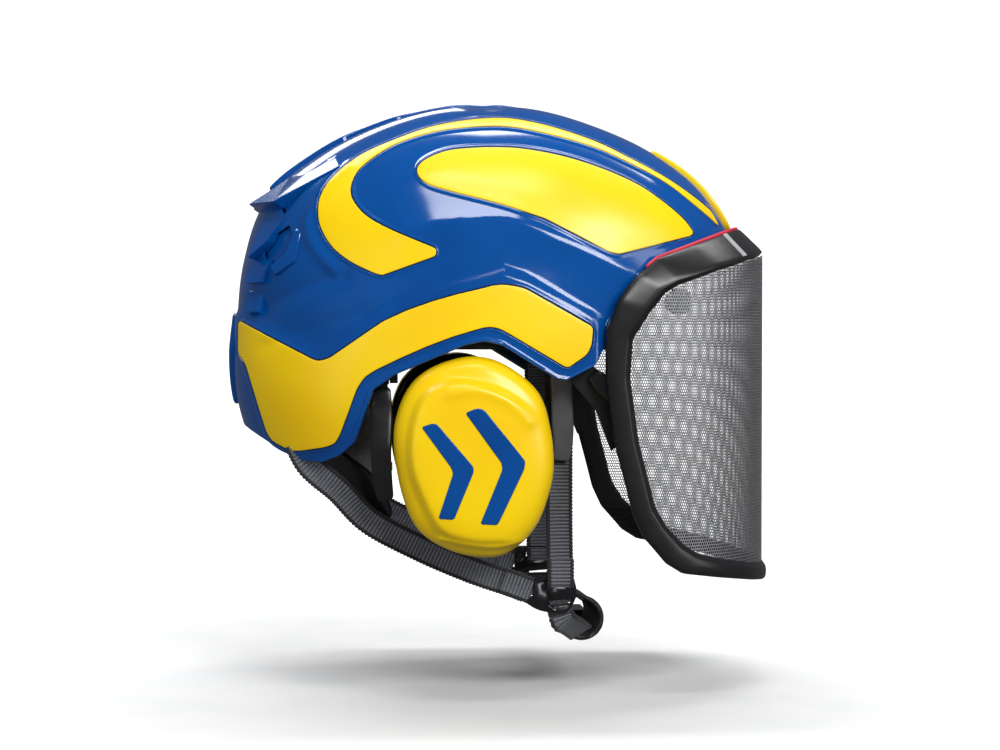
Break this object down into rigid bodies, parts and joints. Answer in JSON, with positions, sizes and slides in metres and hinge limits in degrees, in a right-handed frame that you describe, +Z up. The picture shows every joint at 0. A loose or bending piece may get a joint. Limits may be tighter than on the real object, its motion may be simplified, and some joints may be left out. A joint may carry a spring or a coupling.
{
  "type": "forestry helmet",
  "caption": "Forestry safety helmet with a tilting mesh visor, swinging oval ear cups, a ratchet headband and a webbing chin strap.",
  "frame": {"origin": "centre of the head opening, on the middle plane, 6 mm below the headband's lower edge", "axes": "+X forward, +Y the wearer's left, +Z up"},
  "size_m": [0.3169, 0.2456, 0.319],
  "materials": {
    "blue_shell": "glossy moulded ABS, blue",
    "yellow_panel": "glossy moulded ABS, yellow",
    "black_plastic": "fine grained black nylon",
    "inner_foam": "moulded expanded foam",
    "red_seal": "red soft lip",
    "etched_mesh": "blackened steel with etched holes",
    "steel_pin": "turned steel",
    "webbing": "ribbed polyester webbing, dark grey with black edges",
    "felt": "heather grey felt",
    "cushion": "soft black vinyl over foam",
    "grey_plastic": "satin grey nylon"
  },
  "bodies": {
    "shell": {"outer_shell": "blue_shell", "inner_shell": "inner_foam", "side_band_right": "yellow_panel", "side_band_left": "yellow_panel", "crown_stripe_right": "yellow_panel", "crown_stripe_left": "yellow_panel", "leaf_panel_right": "yellow_panel", "leaf_panel_left": "yellow_panel", "front_badge_panel": "yellow_panel", "crown_spine": "blue_shell", "vent_cowl_upper_right": "blue_shell", "vent_cowl_upper_left": "blue_shell", "vent_cowl_lower_right": "blue_shell", "vent_cowl_lower_left": "blue_shell", "headband": "black_plastic", "forehead_pad": "felt", "crown_cradle": "webbing", "visor_pivot_pin_right": "steel_pin", "visor_pivot_pin_left": "steel_pin", "arm_block_right": "black_plastic", "arm_block_left": "black_plastic", "strap_sleeve_right": "grey_plastic", "strap_sleeve_left": "grey_plastic", "front_strap_right": "webbing", "front_strap_left": "webbing", "rear_strap_right": "webbing", "rear_strap_left": "webbing", "strap_slider_right": "black_plastic", "strap_slider_left": "black_plastic", "chin_strap_right": "webbing", "chin_strap_left": "webbing", "chin_pad": "black_plastic", "buckle_socket": "black_plastic", "buckle_plug": "black_plastic"},
    "visor": {"visor_frame": "black_plastic", "visor_mesh": "etched_mesh", "visor_seal": "red_seal", "visor_arm_right": "black_plastic", "visor_arm_left": "black_plastic"},
    "nape": {"nape_yoke": "black_plastic", "nape_pad": "felt", "ratchet_housing": "black_plastic"},
    "knob": {"ratchet_knob": "black_plastic"},
    "arm_right": {"cup_arm_right": "black_plastic"},
    "arm_left": {"cup_arm_left": "black_plastic"},
    "pin_right": {"cup_pin_right": "steel_pin"},
    "pin_left": {"cup_pin_left": "steel_pin"},
    "cup_right": {"cup_shell_right": "yellow_panel", "cup_chevron_front_right": "blue_shell", "cup_chevron_rear_right": "blue_shell", "cup_backplate_right": "black_plastic", "ear_cushion_right": "cushion", "cup_foam_right": "inner_foam"},
    "cup_left": {"cup_shell_left": "yellow_panel", "cup_chevron_front_left": "blue_shell", "cup_chevron_rear_left": "blue_shell", "cup_backplate_left": "black_plastic", "ear_cushion_left": "cushion", "cup_foam_left": "inner_foam"},
    "button": {"buckle_button": "grey_plastic"}
  },
  "joints": [
    {"name": "visor_tilt", "type": "hinge", "parent": "shell", "child": "visor", "pos_m": [0.038, 0, 0.029], "axis": [0, -1, 0], "range_deg": [0, 65]},
    {"name": "cup_swing_right", "type": "hinge", "parent": "shell", "child": "arm_right", "pos_m": [-0.0615, -0.0845, -0.009], "axis": [-1, 0, 0], "range_deg": [0, 10]},
    {"name": "cup_swing_left", "type": "hinge", "parent": "shell", "child": "arm_left", "pos_m": [-0.0615, 0.0845, -0.009], "axis": [1, 0, 0], "range_deg": [0, 10]},
    {"name": "cup_height_right", "type": "slide", "parent": "arm_right", "child": "pin_right", "axis": [0, 0, -1], "range_m": [0, 0.01]},
    {"name": "cup_height_left", "type": "slide", "parent": "arm_left", "child": "pin_left", "axis": [0, 0, -1], "range_m": [0, 0.01]},
    {"name": "cup_tilt_right", "type": "hinge", "parent": "pin_right", "child": "cup_right", "pos_m": [-0.058, -0.095, -0.058], "axis": [-1, 0, 0], "range_deg": [-6, 6]},
    {"name": "cup_tilt_left", "type": "hinge", "parent": "pin_left", "child": "cup_left", "pos_m": [-0.058, 0.095, -0.058], "axis": [1, 0, 0], "range_deg": [-6, 6]},
    {"name": "ratchet_turn", "type": "hinge", "parent": "nape", "child": "knob", "pos_m": [-0.12, 0, -0.03], "axis": [-1, 0, 0], "range_deg": [-180, 180]},
    {"name": "nape_size", "type": "slide", "parent": "shell", "child": "nape", "axis": [1, 0, 0], "range_m": [-0.004, 0.004]},
    {"name": "buckle_release", "type": "slide", "parent": "shell", "child": "button", "axis": [0, 0, 1], "range_m": [0, 0.0012], "stiffness_N_per_m": 800, "springref_m": -0.001}
  ],
  "couplings": [
    {"joint": "ratchet_turn", "follows": "nape_size", "rad_per_m": 785.4}
  ]
}
